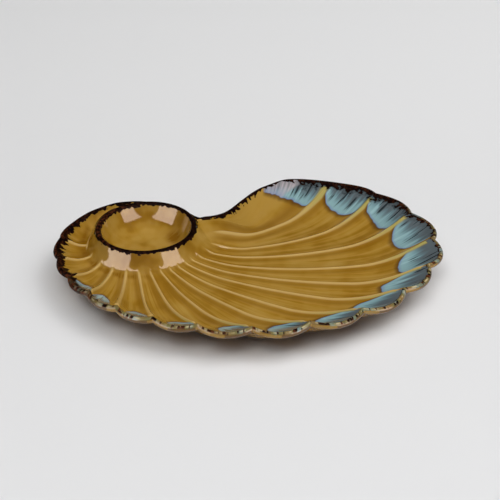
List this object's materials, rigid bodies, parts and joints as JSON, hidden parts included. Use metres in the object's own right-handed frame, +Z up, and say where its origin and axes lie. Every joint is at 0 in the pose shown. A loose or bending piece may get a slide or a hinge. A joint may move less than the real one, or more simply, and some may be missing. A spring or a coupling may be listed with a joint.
{
  "type": "shell platter",
  "caption": "Fluted spiral shell platter in glazed stoneware with a round dip bowl set into its narrow end, for snacks and a dip.",
  "frame": {"origin": "middle of the outline on the table, under the feet", "axes": "+X along the platter's longest way, towards the wide end of the fan; +Z up"},
  "size_m": [0.3236, 0.2398, 0.034],
  "materials": {
    "stoneware": "biscuit-fired stoneware under the glaze",
    "bare_clay": "bare fired clay, dry and slightly rough",
    "amber_glaze": "glossy amber glaze, streaked along the flutes",
    "blue_glaze": "glossy milky blue glaze with dark runs",
    "brown_glaze": "glossy dark brown glaze, broken to tan on edges"
  },
  "bodies": {
    "root": {"shell_tray": "stoneware", "dip_bowl": "stoneware", "tray_foot_ring": "bare_clay", "bowl_foot_ring": "bare_clay", "tray_glaze": "amber_glaze", "bowl_glaze": "amber_glaze", "blue_glaze_runs": "blue_glaze", "tray_rim_glaze": "brown_glaze", "bowl_rim_glaze": "brown_glaze"}
  },
  "joints": []
}
